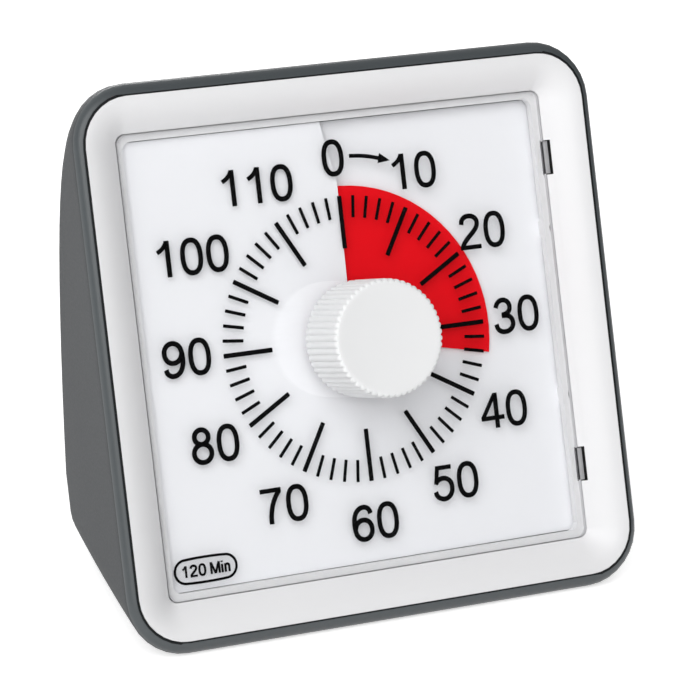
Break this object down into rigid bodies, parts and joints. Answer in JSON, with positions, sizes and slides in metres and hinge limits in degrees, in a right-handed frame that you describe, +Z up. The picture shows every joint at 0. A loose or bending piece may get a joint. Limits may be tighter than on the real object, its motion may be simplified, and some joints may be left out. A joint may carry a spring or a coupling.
{
  "type": "visual countdown timer",
  "caption": "Wedge-shaped table timer with a round knob on a square dial; turning the knob winds a red disc out of a slit to show the time that is left.",
  "frame": {"origin": "centre of the bounding box's footprint, on the table", "axes": "+Z up, the dial faces -Y and leans back, +X to the right seen from the front"},
  "size_m": [0.0784, 0.0498, 0.0749],
  "materials": {
    "rear_housing": "fine satin grain",
    "front_frame": "smooth",
    "lens": "clear, polished",
    "dial_plate": "printed",
    "red_disc": "smooth",
    "knob": "smooth",
    "shaft": "turned",
    "clutch_washer": "stamped",
    "chassis_plate": "moulded",
    "movement_case": "moulded",
    "movement_cover": "moulded",
    "centre_wheel": "moulded",
    "second_wheel": "moulded",
    "third_wheel": "moulded",
    "rotor_pinion": "moulded",
    "rotor_magnet": "sintered",
    "stator": "stamped",
    "coil_bobbin": "moulded",
    "coil_winding": "enamelled copper wire",
    "circuit_board": "solder mask",
    "chip": "potted",
    "crystal": "drawn can",
    "buzzer": "moulded",
    "switch_body": "moulded",
    "switch_slider": "moulded",
    "battery_cell": "printed jacket",
    "battery_spring": "plated wire",
    "battery_plate": "plated sheet",
    "battery_door": "fine satin grain",
    "case_screws": "plated",
    "chassis_screws": "plated",
    "movement_screws": "plated",
    "power_leads": "insulated wire",
    "buzzer_leads": "insulated wire",
    "switch_leads": "insulated wire"
  },
  "bodies": {
    "housing": {"rear_housing": "rear_housing", "front_frame": "front_frame", "lens": "lens", "dial_plate": "dial_plate", "chassis_plate": "chassis_plate", "movement_case": "movement_case", "movement_cover": "movement_cover", "stator": "stator", "coil_bobbin": "coil_bobbin", "coil_winding": "coil_winding", "circuit_board": "circuit_board", "chip": "chip", "crystal": "crystal", "buzzer": "buzzer", "switch_body": "switch_body", "battery_cell": "battery_cell", "battery_spring": "battery_spring", "battery_plate": "battery_plate", "case_screws": "case_screws", "chassis_screws": "chassis_screws", "movement_screws": "movement_screws", "power_leads": "power_leads", "buzzer_leads": "buzzer_leads", "switch_leads": "switch_leads"},
    "knob": {"knob": "knob", "shaft": "shaft", "clutch_washer": "clutch_washer"},
    "disc": {"red_disc": "red_disc"},
    "centre_wheel": {"centre_wheel": "centre_wheel"},
    "second_wheel": {"second_wheel": "second_wheel"},
    "third_wheel": {"third_wheel": "third_wheel"},
    "rotor": {"rotor_pinion": "rotor_pinion", "rotor_magnet": "rotor_magnet"},
    "volume_slider": {"switch_slider": "switch_slider"},
    "battery_door": {"battery_door": "battery_door"}
  },
  "joints": [
    {"name": "knob_turn", "type": "hinge", "parent": "housing", "child": "knob", "pos_m": [0, -0.01075, 0.03719], "axis": [0, 0.9613, -0.2756], "range_deg": [-102, 258]},
    {"name": "disc_slide", "type": "slide", "parent": "knob", "child": "disc", "axis": [0, -0.9613, 0.2756], "range_m": [-0.00034, 0.00086]},
    {"name": "second_wheel_spin", "type": "hinge", "parent": "housing", "child": "second_wheel", "pos_m": [-0.0095, -0.01199, 0.03289], "axis": [0, 0.9613, -0.2756], "continuous": true},
    {"name": "centre_wheel_spin", "type": "hinge", "parent": "housing", "child": "centre_wheel", "pos_m": [0, -0.01075, 0.03719], "axis": [0, 0.9613, -0.2756], "continuous": true},
    {"name": "third_wheel_spin", "type": "hinge", "parent": "housing", "child": "third_wheel", "pos_m": [-0.01051, -0.00959, 0.04124], "axis": [0, 0.9613, -0.2756], "continuous": true},
    {"name": "rotor_spin", "type": "hinge", "parent": "housing", "child": "rotor", "pos_m": [-0.00556, -0.00823, 0.046], "axis": [0, 0.9613, -0.2756], "continuous": true},
    {"name": "volume_slide", "type": "slide", "parent": "housing", "child": "volume_slider", "axis": [1, 0, 0], "range_m": [-0.002, 0.002]},
    {"name": "door_swing", "type": "hinge", "parent": "housing", "child": "battery_door", "pos_m": [0, 0.02185, 0.0056], "axis": [-1, 0, 0], "range_deg": [0, 75]}
  ],
  "couplings": [
    {"joint": "disc_slide", "follows": "knob_turn", "m_per_rad": 0.00019099},
    {"joint": "centre_wheel_spin", "follows": "second_wheel_spin", "ratio": -0.2},
    {"joint": "third_wheel_spin", "follows": "second_wheel_spin", "ratio": -4},
    {"joint": "rotor_spin", "follows": "second_wheel_spin", "ratio": 12}
  ]
}
